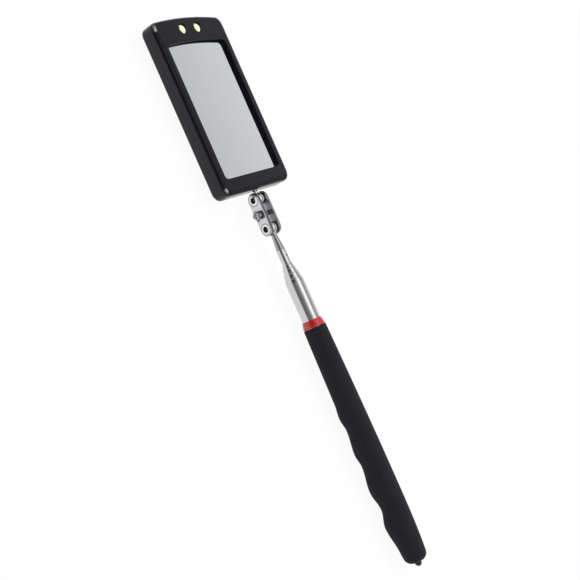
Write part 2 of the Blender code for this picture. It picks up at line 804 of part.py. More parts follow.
def make_shell(frame, plastic):
    high = seam - SEAM_GAP / 2
    shell = add("rear_shell", slab(inset_outline(0), case_back, high), plastic, frame)
    round_face(shell, case_back, REAR_FILLET, FILLET_STEPS - 1)
    cut(shell, slab(inset_outline(CASE_WALL), floor_top, high + THROUGH))

    rooted = floor_top - ROOT
    join(shell, cylinders(BOSS_RADIUS, rooted, ledge - SEAT, case_screw_spots))
    join(shell, cylinders(POST_RADIUS, rooted, board_low - SEAT, post_spots))
    for rib in ((-rib_high, -rib_low), (rib_low, rib_high)):
        join(shell, box((DOOR_START, ledge_start - RIB_GAP), rib, (rooted, cell_top)))
    opening_x = (DOOR_START - DOOR_GAP, door_end + DOOR_GAP)
    cut(shell, box(opening_x, (-opening_half, opening_half), (case_back - THROUGH, floor_top + RIB_GAP)))
    ledge_half = opening_half + LEDGE_OVERLAP
    join(shell, box((ledge_start, ledge_end), (-ledge_half, ledge_half), (ledge_low, ledge_high)))

    thumb_x = KNOB_WIDTH / 2 + THUMB_MARGIN
    thumb_y = (SWITCH_TRAVEL + KNOB_LENGTH) / 2 + 2 * THUMB_MARGIN
    thumb_floor = case_back + KNOB_THICKNESS + SEAT
    sink_radius = CASE_SCREW_HEAD_RADIUS + SINK_GAP
    cut(
        shell,
        box(about(top_middle, thumb_x), (-thumb_y, thumb_y), (case_back - THROUGH, thumb_floor)),
        stem_slot(case_back, floor_top + THROUGH),
        cylinders(sink_radius, case_back - THROUGH, screw_seat + SEAT, case_screw_spots),
        cylinders(CASE_SCREW_RADIUS + FIT, case_back, ledge + THROUGH, case_screw_spots),
        cylinders(DOOR_SCREW_RADIUS + FIT, case_back, ledge_high + THROUGH, ((door_screw_x, 0),)),
        *stud_passage(),
    )


def make_mirror(frame, silvered, foam):
    add("mirror_glass", slab(window_outline(GLASS_LAP), glass_low, glass_top), silvered, frame)
    pad_x = (ledge_end + PAD_GAP, glass_end - PAD_EDGE)
    pad_y = about(0, window_half - PAD_EDGE)
    add("mirror_pad", box(pad_x, pad_y, (floor_top + SEAT, glass_low - SEAT)), foam, frame)


def make_lights(frame, lens, board_green):
    board_span = (BOARD_FROM_TOP, board_end)
    board = box(board_span, (-board_half, board_half), (board_low, board_top))
    add("led_board", board, board_green, frame)
    radius = LED_DIAMETER / 2
    crown = LED_HEIGHT / 2
    shares = [math.pi / 2 * i / CORNER_STEPS for i in range(CORNER_STEPS + 1)]
    profile = [(radius * math.sin(a), LED_HEIGHT - crown * (1 - math.cos(a))) for a in shares]
    profile += [(radius, 0), (0, 0)]
    for name, (x, y) in zip(("led_left", "led_right"), led_spots()):
        add(name, turned(profile, SMALL_ROUND), lens, frame, (x, y, board_top + SEAT))


def make_switch(frame, plastic, light_plastic):
    body_x = about(top_middle, SWITCH_WIDTH / 2)
    body_y = about(0, SWITCH_LENGTH / 2)
    body = add("switch_body", box(body_x, body_y, (floor_top + SEAT, board_low - SEAT)), plastic, frame)
    stem_top = floor_top + SEAT + STEM_ENTRY
    cut(body, stem_slot(floor_top, stem_top + STEM_GAP))

    slide = joint_frame("switch_slide", top_middle, frame)
    knob_top = case_back + KNOB_THICKNESS
    knob = box(about(0, KNOB_WIDTH / 2), about(0, KNOB_LENGTH / 2), (case_back, knob_top))
    slider = add("switch_slider", knob, light_plastic, slide, (0, -SWITCH_TRAVEL / 2, 0))
    stem = about(0, STEM_SIDE / 2)
    join(slider, box(stem, stem, (knob_top - ROOT, stem_top)))


def contact_mesh(side, cell_x):
    """A flat spring strip: a rail from the board along the ribs, and a finger across one cell."""
    start = board_end - CONTACT_WIDTH
    finger = about(cell_x, CONTACT_WIDTH)
    outline = [
        (start, rail_low),
        (finger[0], rail_low),
        (finger[0], -CONTACT_WIDTH),
        (finger[1], -CONTACT_WIDTH),
        (finger[1], rail_high),
        (start, rail_high),
    ]
    return slab([(x, side * y) for x, y in outline], contact_low, contact_top)


def make_power(frame, steel, cell_metal):
    for number, x in ((1, cell_1_x), (2, cell_2_x)):
        cell = cylinders(cell_radius, cell_low, cell_top, segments=ROUND)
        add(f"battery_{number}", cell, cell_metal, frame, (x, 0, 0))
    for name, side, x in (("contact_plus", -1, cell_1_x), ("contact_minus", 1, cell_2_x)):
        contact = add(name, contact_mesh(side, x), steel, frame)
        riser_x = (board_end - CONTACT_WIDTH, board_end - CONTACT_WIDTH / 2)
        riser_y = sorted((side * rail_low, side * rail_high))
        join(contact, box(riser_x, riser_y, (contact_low, board_low - SEAT)))
    bridge_x = (cell_1_x - BRIDGE_OVERLAP, cell_2_x + BRIDGE_OVERLAP)
    bridge_y = about(0, BRIDGE_WIDTH / 2)
    add("contact_bridge", box(bridge_x, bridge_y, (bridge_low, bridge_top)), steel, frame)


def make_door(frame, plastic, steel):
    plate = box((DOOR_START, door_end), (-door_half, door_half), (case_back, door_top))
    door = add("battery_door", plate, plastic, frame)
    tongue_low = floor_top + SEAT
    tongue_high = tongue_low + TONGUE_THICKNESS
    heel = DOOR_START + TONGUE_THICKNESS
    tip = DOOR_START - DOOR_GAP - TONGUE_REACH
    hook = slab(
        [
            (door_top - ROOT, heel),
            (door_top - ROOT, DOOR_START + DOOR_GAP),
            (tongue_low, DOOR_START + DOOR_GAP),
            (tongue_low, tip),
            (tongue_high, tip),
            (tongue_high, heel),
        ],
        -TONGUE_WIDTH / 2,
        TONGUE_WIDTH / 2,
    )
    hook.transform(Matrix.Rotation(-math.pi / 2, 4, "Z") @ Matrix.Rotation(-math.pi / 2, 4, "Y"))
    join(door, hook)
    spot = ((door_screw_x, 0),)
    head_high = screw_low + DOOR_SCREW_HEAD_HEIGHT
    cut(
        door,
        cylinders(DOOR_SCREW_HEAD_RADIUS + SINK_GAP, case_back - THROUGH, head_high + SEAT, spot),
        cylinders(DOOR_SCREW_RADIUS + FIT, case_back, door_top + THROUGH, spot),
    )
    profile = screw_profile(DOOR_SCREW_RADIUS, DOOR_SCREW_HEAD_RADIUS, head_high, ledge_high - SINK_GAP)
    add("door_screw", turned(profile, SMALL_ROUND), steel, frame, (door_screw_x, 0, 0))


def screw_profile(radius, head_radius, seat, top):
    """A screw driven upward: its head flush with the back, its shank standing on the head."""
    shank = [(0, top), (radius, top), (radius, seat)]
    return shank + [(head_radius, seat), (head_radius, screw_low), (0, screw_low)]


def make_case_screws(frame, steel):
    profile = screw_profile(CASE_SCREW_RADIUS, CASE_SCREW_HEAD_RADIUS, screw_seat, screw_top)
    for number, (x, y) in enumerate(case_screw_spots, 1):
        add(f"case_screw_{number}", turned(profile, SMALL_ROUND), steel, frame, (x, y, 0))


def make_tool():
    clear_scene()
    new_collection(PARTS)
    new_collection(CUTTERS)

    chrome = make_material("chrome", (0.80, 0.80, 0.82), 0.12, 1.0)
    nickel = make_material("satin_nickel", (0.62, 0.62, 0.65), 0.32, 1.0)
    steel = make_material("steel", (0.55, 0.55, 0.57), 0.35, 1.0)
    cell_metal = make_material("cell_steel", (0.68, 0.68, 0.69), 0.25, 1.0)
    foam = make_material("foam", (0.018, 0.019, 0.022), 0.95)
    pad_foam = make_material("pad_foam", (0.10, 0.10, 0.11), 0.95)
    red = make_material("red_plastic", (0.62, 0.02, 0.02), 0.35)
    dark = make_material("plug_plastic", (0.02, 0.02, 0.022), 0.5)
    nylon = make_material("nylon", (0.75, 0.74, 0.70), 0.5)
    black = make_material("case_plastic", (0.022, 0.023, 0.027), 0.35)
    grey = make_material("switch_plastic", (0.08, 0.08, 0.085), 0.5)
    silvered = make_material("mirror", (0.90, 0.91, 0.92), 0.02, 1.0)
    lens = make_material("led_lens", (0.90, 0.88, 0.62), 0.2)
    board_green = make_material("circuit_board", (0.02, 0.16, 0.07), 0.5)

    grip = grip_mesh()
    lowest = min(vertex.co.z for vertex in grip.vertices)
    handle = joint_frame("handle", mouths[0], height=max(-lowest, HEAD_THICKNESS / 2))
    make_handle(handle, grip, chrome, foam, red, dark)
    innermost = make_sections(handle, chrome, nylon)
    rod = joint_frame("rod_turn", ball_1, innermost)
    make_rod(rod, chrome, steel)
    link = joint_frame("link_swing", ball_1, rod)
    make_link(link, nickel, steel)
    stud = joint_frame("stud_swing", ball_2, link)
    make_stud(stud, chrome, steel)
    head = joint_frame("head_turn", 0.0, stud)
    make_bezel(head, black)
    make_shell(head, black)
    make_mirror(head, silvered, pad_foam)
    make_lights(head, lens, board_green)
    make_switch(head, grey, grey)
    make_power(head, steel, cell_metal)
    make_door(head, black, steel)
    make_case_screws(head, steel)


make_tool()
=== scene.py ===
"""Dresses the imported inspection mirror: camera, studio, procedural materials, turned and foam pieces."""

import json
import math

import bmesh
import bpy
from mathutils import Matrix, Vector


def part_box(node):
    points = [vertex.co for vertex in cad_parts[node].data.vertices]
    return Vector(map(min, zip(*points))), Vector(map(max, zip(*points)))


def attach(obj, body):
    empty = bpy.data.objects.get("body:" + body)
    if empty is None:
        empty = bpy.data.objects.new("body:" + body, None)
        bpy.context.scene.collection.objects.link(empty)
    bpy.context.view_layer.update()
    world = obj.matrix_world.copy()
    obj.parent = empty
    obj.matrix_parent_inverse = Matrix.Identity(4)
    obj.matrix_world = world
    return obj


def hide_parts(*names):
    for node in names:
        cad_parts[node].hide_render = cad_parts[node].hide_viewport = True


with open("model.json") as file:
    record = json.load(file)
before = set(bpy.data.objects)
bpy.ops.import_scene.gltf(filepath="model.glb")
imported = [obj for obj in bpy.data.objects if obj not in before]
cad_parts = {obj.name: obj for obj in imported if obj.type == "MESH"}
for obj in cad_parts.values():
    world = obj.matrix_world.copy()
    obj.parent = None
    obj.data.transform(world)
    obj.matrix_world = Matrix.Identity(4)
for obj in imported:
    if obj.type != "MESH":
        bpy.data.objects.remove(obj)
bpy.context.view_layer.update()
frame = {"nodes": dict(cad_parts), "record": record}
nodes = frame["nodes"]
slots = {row["node"]: row["material_slot"] for row in frame["record"]["subparts"]}
scene = bpy.context.scene
axis_z = (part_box("outer_tube")[0].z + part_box("outer_tube")[1].z) / 2

# Camera, taken from the photograph's perspective; its lens and sensor in millimetres
AZIMUTH = math.radians(1.191)
ELEVATION = math.radians(39.704)
ROLL = math.radians(65.471)
DISTANCE = 0.55815
LENS = 69.81
SENSOR = 36.0
NEAR_CLIP = 0.01
FAR_CLIP = 100.0
TARGET = Vector((-0.002655, 0.0, 0.003104))

# Greys of the studio by angle in degrees, from the camera's horizon over the top to the far horizon
STUDIO = (
    (0, 0.40),
    (10, 0.27),
    (18, 0.20),
    (34, 0.20),
    (50, 0.29),
    (60, 0.43),
    (70, 0.78),
    (80, 1.25),
    (91, 1.75),
    (101, 1.38),
    (111, 0.80),
    (120, 0.46),
    (128, 0.40),
    (136.5, 0.46),
    (142.5, 0.70),
    (154, 0.70),
    (166, 0.77),
    (178, 0.85),
)

# The strip light and the dark side of the studio end to both sides, where the walls are plain grey
SIDE_START = 0.45
SIDE_END = 0.80
SIDE_GREY = 0.40

# A dark screen in front, toward the head, and the share of light that it leaves
SCREEN = Vector((-0.42, -0.79, 0.45))
SCREEN_INNER = math.radians(9.0)
SCREEN_OUTER = math.radians(26.0)
SCREEN_SHADE = 0.3

# The soft fill lamp, aimed at the origin, in metres and watts
LAMP_PLACE = Vector((-0.1, 0.8, 1.35))
LAMP_SIZE = 1.0
LAMP_POWER = 13.0

# The floor: its reach, its drop below the tool, its grey, and the share of it that shows as plain white
FLOOR_REACH = 30.0
FLOOR_DROP = 0.0002
FLOOR_GREY = 0.95
FLOOR_WHITE = 0.94

# The grip's form, as in the part's source, with the waves' places from the grip's top
TUBE_RADIUS = 0.0047
GRIP_LENGTH = 0.1256
GRIP_TOP_WALL = 0.0012
GRIP_SWELL_WALL = 0.00223
GRIP_SWELL_AT = 0.0860
GRIP_BUTT_WALL = 0.0010
FINGER_WAVES = (
    (0.0388, 0.0),
    (0.0463, 0.00057),
    (0.0533, -0.00040),
    (0.0658, 0.00064),
    (0.0723, -0.00028),
    (0.0853, 0.00112),
    (0.0953, -0.00051),
    (0.1048, 0.00140),
    (0.1180, 0.00014),
)
WAVE_TURN = math.radians(39.5)
WAVE_SHARPNESS = 1.5
GRIP_TOP_ROUND = 0.0006
GRIP_END_ROUND = 0.0035
GRIP_END_WALL = 0.0035
GRIP_FIT = 0.0001
GRIP_SKIN = 0.00006
NUB_HOLE = 0.00185
GRIP_RINGS = 360
GRIP_END_STEPS = 10
GRIP_SIDES = 96

# The foam pad: how much its sides draw in at mid height and toward its corners, and its mesh's cuts
PAD_WAIST = 0.006
PAD_CORNER = 0.02
PAD_CORNER_POWER = 6
PAD_CUTS = 11

# The turned pieces, as in the part's source but with rolled lips and more sides
TUBE_BODIES = {
    "outer_tube": "handle",
    "section_2": "section_2",
    "section_3": "section_3",
    "section_4": "section_4",
}
TUBE_WALL = 0.0004
RUNNING_GAP = 0.00019
LIP_GAP = 0.00005
LIP_LENGTH = 0.0008
LIP_WALL = 0.0002
SWAGE_LENGTH = 0.0020
BEAD_RADIUS = 0.00022
BEAD_VALLEY = 0.00054
BEAD_ARC = (50, -180)
BEAD_STEPS = 14
CREASE_WIDTH = 0.00016
CREASE_DEPTH = 0.00006
MOUTH_ROUND = 0.00015
PIN_HOLE = 0.0005
PIN_HOLE_SIDES = 32
ROD_REACH = 0.0118
ROD_NECK_LENGTH = 0.0042
ROD_NECK_RADIUS = 0.0015
SPIGOT_GAP = 0.0001
SEAT = 0.0001
BALL_RADIUS = 0.0032
BALL_STEPS = 48
STUD_NECK_RADIUS = 0.0011
STUD_FLARE_RADIUS = 0.0017
STUD_RADIUS = 0.0015
HEAD_TO_BALL = 0.0048
COLLAR_TOP_WALL = 0.00035
COLLAR_BASE_WALL = 0.00115
COLLAR_ROUND = 0.000175
ROUND_STEPS = 6
TURN_SIDES = 128

# Edges steeper than this stay sharp, and points closer than this are one
SHARP_ANGLE = math.radians(35)
WELD = 0.000002

# The head's moulding: its gloss on faces, walls, rounded edges and rubbed corners, and how far the corners
# reach from the top, the bottom and the sides
CASE_GLOSS = 0.235
WALL_GLOSS = 0.33
EDGE_GLOSS = 0.13
CORNER_GLOSS = 1.0
CASE_IOR = 1.5
CORNER_IOR = 2.3
CORNER_TOP = 0.0070
CORNER_BOTTOM = 0.0043
CORNER_SIDE = 0.0030
CORNER_FADE = 0.0010

# How far up the moulding's surface faces: on its walls, where its faces begin, and where its rounded edges
# begin, are full and end
WALL_FACING = 0.20
FACE_FACING = 0.50
EDGE_FACING = (0.50, 0.62, 0.975, 0.995)

# The upper wall of the mirror's recess: how far it reaches down from the glass's top, how far it faces the
# butt, and its gloss above its shaded half
RECESS_EDGE = 0.006
RECESS_FACING = 0.5
RECESS_GLOSS = 0.02

# How far the painted highlight and shade round a plate's ball seat reach, and their levels by share of it
SEAT_REACH = 0.0040
SEAT_PAINTED_LIGHT = ((0.44, 1.3), (0.60, 1.15), (0.68, 0.5), (0.76, 0.62), (0.84, 1.0))

# Painted shade on a plate by its facing, from one flat side to the middle of its edge, which the other side
# mirrors, and the painted shade of its inner side
PLATE_PAINTED_SHADES = ((0.02, 1.0), (0.08, 0.14), (0.36, 0.16), (0.46, 0.55))
PLATE_INSIDE_PAINTED_SHADE = 0.68

# Where the plates' seats hold a ball, from its middle, in patches, and the painted shade and roughness
# there and on the rod's cone
BALL_SHADE_START = 0.0014
BALL_SHADE_WIDTH = 0.0007
BALL_SHADE_PATCHES = 0.0018
BALL_PAINTED_SHADE = 0.19
SEAT_ROUGHNESS = 0.4
CONE_PAINTED_SHADE = 0.62
CONE_ROUGHNESS = 0.30


class Graph:
    """A node tree, with short calls for the nodes used here, on one kind of coordinates."""

    def __init__(self, node_tree, coordinates):
        self.nodes = node_tree.nodes
        self.links = node_tree.links
        self.place = self.nodes.new("ShaderNodeTexCoord").outputs[coordinates]

    def feed(self, sockets, values):
        """Gives each socket a link from another node, or a constant."""
        for socket, value in zip(sockets, values):
            if isinstance(value, bpy.types.NodeSocket):
                self.links.new(value, socket)
            else:
                socket.default_value = value

    def axis(self, name, vector=None):
        """One coordinate of a vector, or of the place."""
        node = self.nodes.new("ShaderNodeSeparateXYZ")
        self.links.new(vector or self.place, node.inputs["Vector"])
        return node.outputs[name]

    def math(self, operation, *values):
        node = self.nodes.new("ShaderNodeMath")
        node.operation = operation
        self.feed(node.inputs, values)
        return node.outputs["Value"]

    def vector_math(self, operation, *vectors):
        """All outputs of a vector calculation, whose result is a Value or a Vector."""
        node = self.nodes.new("ShaderNodeVectorMath")
        node.operation = operation
        self.feed(node.inputs, vectors)
        return node.outputs

    def blended(self, share, first, second):
        """A value between two others."""
        node = self.nodes.new("ShaderNodeMix")
        self.feed([node.inputs[name] for name in ("Factor", "A", "B")], (share, first, second))
        return node.outputs["Result"]

    def smooth_step(self, value, start, end, first, last):
        """A value that goes smoothly from first to last while another goes from start to end."""
        node = self.nodes.new("ShaderNodeMapRange")
        node.interpolation_type = "SMOOTHSTEP"
        names = ("Value", "From Min", "From Max", "To Min", "To Max")
        self.feed([node.inputs[name] for name in names], (value, start, end, first, last))
        return node.outputs["Result"]

    def ramp(self, factor, *stops):
        """A colour ramp through (place, grey or colour) stops."""
        node = self.nodes.new("ShaderNodeValToRGB")
        elements = node.color_ramp.elements
        while len(elements) < len(stops):
            elements.new(0.5)
        for element, (place, value) in zip(elements, stops):
            element.position = place
            element.color = (*value, 1.0) if isinstance(value, tuple) else (value, value, value, 1.0)
        self.links.new(factor, node.inputs["Fac"])
        return node.outputs["Color"]


class Surface(Graph):
    """A material's node tree round its principled shader, in object coordinates."""

    def __init__(self, name):
        self.material = bpy.data.materials.new(name)
        self.material.use_nodes = True
        super().__init__(self.material.node_tree, "Object")
        self.shader = self.nodes["Principled BSDF"]

    def set(self, **values):
        for name, value in values.items():
            socket = self.shader.inputs[name.replace("_", " ")]
            socket.default_value = (*value, 1.0) if isinstance(value, tuple) else value

    def link(self, output, name):
        self.links.new(output, self.shader.inputs[name])

    def facing(self, name):
        """One coordinate of the surface's direction."""
        return self.axis(name, self.nodes.new("ShaderNodeNewGeometry").outputs["Normal"])

    def stretched(self, scale):
        """Object coordinates scaled along each axis."""
        node = self.nodes.new("ShaderNodeMapping")
        node.inputs["Scale"].default_value = scale
        self.links.new(self.place, node.inputs["Vector"])
        return node.outputs["Vector"]

    def noise(self, scale, detail=3.0, roughness=0.55, vector=None):
        node = self.nodes.new("ShaderNodeTexNoise")
        node.inputs["Scale"].default_value = scale
        node.inputs["Detail"].default_value = detail
        node.inputs["Roughness"].default_value = roughness
        self.links.new(vector or self.place, node.inputs["Vector"])
        return node.outputs["Fac"]

    def cells(self, scale):
        node = self.nodes.new("ShaderNodeTexVoronoi")
        node.inputs["Scale"].default_value = scale
        self.links.new(self.place, node.inputs["Vector"])
        return node.outputs["Distance"]

    def bump(self, height, distance, strength=1.0, below=None):
        node = self.nodes.new("ShaderNodeBump")
        node.inputs["Strength"].default_value = strength
        node.inputs["Distance"].default_value = distance
        self.links.new(height, node.inputs["Height"])
        if below is not None:
            self.links.new(below, node.inputs["Normal"])
        return node.outputs["Normal"]


def scaled(colour, share):
    return tuple(channel * share for channel in colour)


def chrome_material():
    """Polished plating over drawn tube: faint lines along the tube, and a soft haze of handling."""
    surface = Surface("chrome_plate")
    base = (0.64, 0.624, 0.629)
    haze = surface.noise(180.0)
    lines = surface.noise(1.0, detail=2.0, vector=surface.stretched((60.0, 5200.0, 5200.0)))
    surface.link(surface.ramp(haze, (0.25, scaled(base, 0.93)), (0.75, base)), "Base Color")
    dulled = surface.math("MULTIPLY", haze, lines)
    surface.link(surface.ramp(dulled, (0.1, 0.035), (0.5, 0.085)), "Roughness")
    surface.link(surface.bump(lines, distance=0.000003, strength=0.25), "Normal")
    surface.set(Metallic=1.0)
    return surface.material


def ball_material():
    """Polished ball plating, duller and with painted shade where the seats hold it and on the rod's cone."""
    surface = Surface("ball_chrome")
    base = (0.66, 0.655, 0.65)
    # painted shade where the seats hold a ball: a patchy band out from the ball's middle, also rougher
    patches = surface.math("MULTIPLY", surface.noise(1300.0), BALL_SHADE_PATCHES)
    patchy = surface.math("ADD", surface.math("ABSOLUTE", surface.axis("Y")), patches)
    wear_and_painted_shade = surface.math("DIVIDE", surface.math("SUBTRACT", patchy, BALL_SHADE_START + BALL_SHADE_PATCHES / 2), BALL_SHADE_WIDTH)
    cone_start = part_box("rod_tip")[0].x + 2 * BALL_RADIUS
    on_ball = surface.math("LESS_THAN", surface.axis("X"), cone_start)
    wear_and_painted_shade = surface.math("MULTIPLY", wear_and_painted_shade, on_ball)
    plating_with_painted_shade = surface.ramp(wear_and_painted_shade, (0.0, base), (1.0, scaled(base, BALL_PAINTED_SHADE)))
    # painted shade darkens the rod's cone; its higher roughness is its own finish
    painted_cone_shade = surface.ramp(on_ball, (0.0, CONE_PAINTED_SHADE), (1.0, 1.0))
    surface.link(surface.vector_math("MULTIPLY", plating_with_painted_shade, painted_cone_shade)["Vector"], "Base Color")
    dulled = surface.ramp(wear_and_painted_shade, (0.0, 0.05), (1.0, SEAT_ROUGHNESS))
    surface.link(surface.blended(on_ball, CONE_ROUGHNESS, dulled), "Roughness")
    scratches = surface.noise(1.0, detail=2.0, vector=surface.stretched((900.0, 5200.0, 5200.0)))
    surface.link(surface.bump(scratches, distance=0.000002, strength=0.25), "Normal")
    surface.set(Metallic=1.0)
    return surface.material


def nickel_material():
    """Stamped plate: fine grain, painted shade on its edges and inner sides, and round each seat a painted
    highlight on the rim and painted shade at the foot.
    """
    surface = Surface("satin_nickel")
    base = (0.64, 0.64, 0.67)
    grain = surface.noise(5200.0, detail=2.0)
    dents = surface.noise(900.0)
    flat = surface.stretched((1.0, 0.0, 1.0))
    reaches = []
    for ball_x in (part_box("rod_tip")[0].x + BALL_RADIUS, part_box("head_stud")[1].x - BALL_RADIUS):
        reaches.append(surface.vector_math("DISTANCE", flat, (ball_x, 0.0, axis_z))["Value"])
    reach = surface.math("DIVIDE", surface.math("MINIMUM", *reaches), SEAT_REACH)
    # painted highlight at each seat's rim and painted shade at its foot
    seat = surface.ramp(reach, *SEAT_PAINTED_LIGHT)
    # painted shade on the plate's rounded edges, by facing, lighter at their middle
    across = surface.math("MULTIPLY", surface.math("ADD", surface.facing("Y"), 1.0), 0.5)
    mirrored = [(1 - place, shade) for place, shade in reversed(PLATE_PAINTED_SHADES)]
    edge = surface.ramp(across, *PLATE_PAINTED_SHADES, *mirrored)
    # painted shade on the plates' inner sides, which face each other
    outward = surface.math("MULTIPLY", surface.facing("Y"), surface.axis("Y"))
    outward = surface.math("DIVIDE", outward, SEAT_REACH)
    inside = surface.ramp(surface.math("ADD", outward, 0.5), (0.2, PLATE_INSIDE_PAINTED_SHADE), (0.5, 1.0))
    colour = surface.ramp(dents, (0.3, scaled(base, 0.93)), (0.7, base))
    for shade in (seat, edge, inside):
        colour = surface.vector_math("MULTIPLY", colour, shade)["Vector"]
    surface.link(colour, "Base Color")
    surface.link(surface.ramp(dents, (0.3, 0.2), (0.7, 0.12)), "Roughness")
    dented = surface.bump(dents, distance=0.000008, strength=0.4)
    surface.link(surface.bump(grain, distance=0.000003, strength=0.3, below=dented), "Normal")
    surface.set(Metallic=1.0)
    return surface.material


def steel_material(name, base, rough):
    """Plain fastener steel: turned grain and a slightly mottled plating."""
    surface = Surface(name)
    grain = surface.noise(6500.0, detail=2.0)
    mottle = surface.noise(1400.0)
    surface.link(surface.ramp(mottle, (0.3, scaled(base, 0.8)), (0.7, base)), "Base Color")
    surface.link(surface.ramp(mottle, (0.25, rough + 0.1), (0.75, rough - 0.06)), "Roughness")
    surface.link(surface.bump(grain, distance=0.000005, strength=0.4), "Normal")
    surface.set(Metallic=1.0)
    return surface.material


def moulded(name, base, rough, grain_depth, specular=0.5, coat=0.0):
    """The surface of moulded plastic: fine spark-eroded grain, broad flow variation, small rubbed places."""
    surface = Surface(name)
    grain = surface.noise(4200.0, detail=2.0)
    flow = surface.noise(90.0)
    wear_and_painted_shade = surface.noise(650.0, detail=4.0)
    surface.link(surface.ramp(flow, (0.3, scaled(base, 0.9)), (0.7, scaled(base, 1.08))), "Base Color")
    surface.link(surface.ramp(wear_and_painted_shade, (0.3, rough + 0.05), (0.72, rough - 0.07)), "Roughness")
    surface.link(surface.bump(grain, grain_depth, strength=0.5), "Normal")
    surface.set(IOR=1.5, Specular_IOR_Level=specular, Coat_Weight=coat, Coat_Roughness=0.06)
    return surface


def case_material():
    """The head's moulding: eggshell, its corners rubbed glossy, dull low on the upper wall of the recess."""
    surface = moulded("case_moulding", base=(0.0082, 0.0090, 0.0142), rough=0.17, grain_depth=0.0000015)
    low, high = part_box("front_bezel")
    glass_low, glass_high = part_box("mirror_glass")
    x = surface.axis("X")
    reaches = (
        (low.x + CORNER_TOP, x),
        (x, high.x - CORNER_BOTTOM),
        (surface.math("ABSOLUTE", surface.axis("Y")), high.y - CORNER_SIDE),
    )
    depths = [surface.math("SUBTRACT", *ends) for ends in reaches]
    top, bottom, side = (surface.math("DIVIDE", depth, CORNER_FADE) for depth in depths)
    corner = surface.math("MINIMUM", surface.math("MAXIMUM", top, bottom), side)
    rounded = surface.ramp(surface.facing("Z"), *zip(EDGE_FACING, (0.0, 1.0, 1.0, 0.0)))
    plain = surface.ramp(surface.facing("Z"), (WALL_FACING, WALL_GLOSS), (FACE_FACING, CASE_GLOSS))
    gloss = surface.blended(rounded, plain, surface.ramp(corner, (0.0, EDGE_GLOSS), (1.0, CORNER_GLOSS)))
    wall = surface.math("GREATER_THAN", surface.facing("X"), RECESS_FACING)
    upper = surface.math("LESS_THAN", x, glass_low.x + RECESS_EDGE)
    shaded = surface.math("LESS_THAN", surface.axis("Z"), (glass_high.z + high.z) / 2)
    recess = surface.ramp(shaded, (0.0, RECESS_GLOSS), (1.0, 0.0))
    surface.link(surface.blended(surface.math("MULTIPLY", wall, upper), gloss, recess), "Specular IOR Level")
    wear_and_painted_shade = surface.math("MULTIPLY", rounded, corner)
    surface.link(surface.ramp(wear_and_painted_shade, (0.0, CASE_IOR), (1.0, CORNER_IOR)), "IOR")
    return surface.material


def foam_material(name, base, cell_scale):
    """Closed-cell foam rubber: a skin of tiny cells, dull and a little dusty."""
    surface = Surface(name)
    cells = surface.cells(cell_scale)
    pores = surface.noise(cell_scale * 2.6, roughness=0.7)
    dust = surface.noise(140.0, detail=4.0)
    shade = surface.math("ADD", surface.math("MULTIPLY", pores, 0.65), surface.math("MULTIPLY", dust, 0.35))
    surface.link(surface.ramp(shade, (0.3, scaled(base, 0.72)), (0.72, scaled(base, 1.4))), "Base Color")
    surface.link(surface.ramp(dust, (0.3, 0.86), (0.7, 0.97)), "Roughness")
    dimpled = surface.bump(cells, distance=0.00012, strength=0.5)
    surface.link(surface.bump(pores, distance=0.00010, strength=0.55, below=dimpled), "Normal")
    surface.set(IOR=1.42, Sheen_Weight=0.04, Sheen_Roughness=0.45, Sheen_Tint=(0.75, 0.77, 0.82))
    return surface.material


def mirror_material():
    """Silvered glass: clear, with the faintest wiping haze."""
    surface = Surface("mirror_silver")
    haze = surface.noise(55.0, detail=4.0)
    wipes = surface.noise(1.0, vector=surface.stretched((900.0, 120.0, 900.0)))
    silver = surface.ramp(wipes, (0.3, (0.862, 0.877, 0.905)), (0.7, (0.872, 0.887, 0.915)))
    surface.link(silver, "Base Color")
    surface.link(surface.ramp(haze, (0.35, 0.012), (0.75, 0.035)), "Roughness")
    surface.set(Metallic=1.0, Coat_Weight=0.3, Coat_Roughness=0.02)
    return surface.material


def lens_material():
    """The moulded dome of a light-emitting diode: pale yellow phosphor, its rim whiter to one side as a
    painted highlight, and a painted glow.
    """
    surface = Surface("led_phosphor_painted_glow")
    cloud = surface.noise(700.0)
    clouded = surface.math("MULTIPLY", cloud, 0.2)
    side = surface.math("ADD", surface.math("MULTIPLY", surface.facing("Y"), 0.5), clouded)
    # pale yellow phosphor with a painted highlight: whiter on the side facing +Y, darker yellow on the other
    phosphor_and_painted_glow = surface.ramp(side, (0.0, (0.80, 0.78, 0.34)), (0.1, (0.98, 1.0, 0.60)), (0.35, (1.0, 1.0, 0.95)))
    surface.link(phosphor_and_painted_glow, "Base Color")
    surface.link(phosphor_and_painted_glow, "Emission Color")
    surface.link(surface.ramp(cloud, (0.3, 0.12), (0.7, 0.22)), "Roughness")
    # the emission is a painted glow
    surface.set(IOR=1.5, Coat_Weight=0.6, Coat_Roughness=0.05, Emission_Strength=0.3)
    return surface.material


def board_material():
    """Solder-masked circuit board with a weave under the mask."""
    surface = Surface("solder_mask")
    base = (0.02, 0.16, 0.07)
    weave = surface.cells(1500.0)
    blotch = surface.noise(300.0)
    surface.link(surface.ramp(blotch, (0.3, scaled(base, 0.75)), (0.7, scaled(base, 1.2))), "Base Color")
    surface.link(surface.ramp(blotch, (0.3, 0.42), (0.7, 0.3)), "Roughness")
    surface.link(surface.bump(weave, distance=0.00002, strength=0.4), "Normal")
    return surface.material


def mix(low, high, share):
    return low + (high - low) * share


def cosine_step(share):
    """A smooth step from 0 to 1."""
    return (1 - math.cos(math.pi * share)) / 2


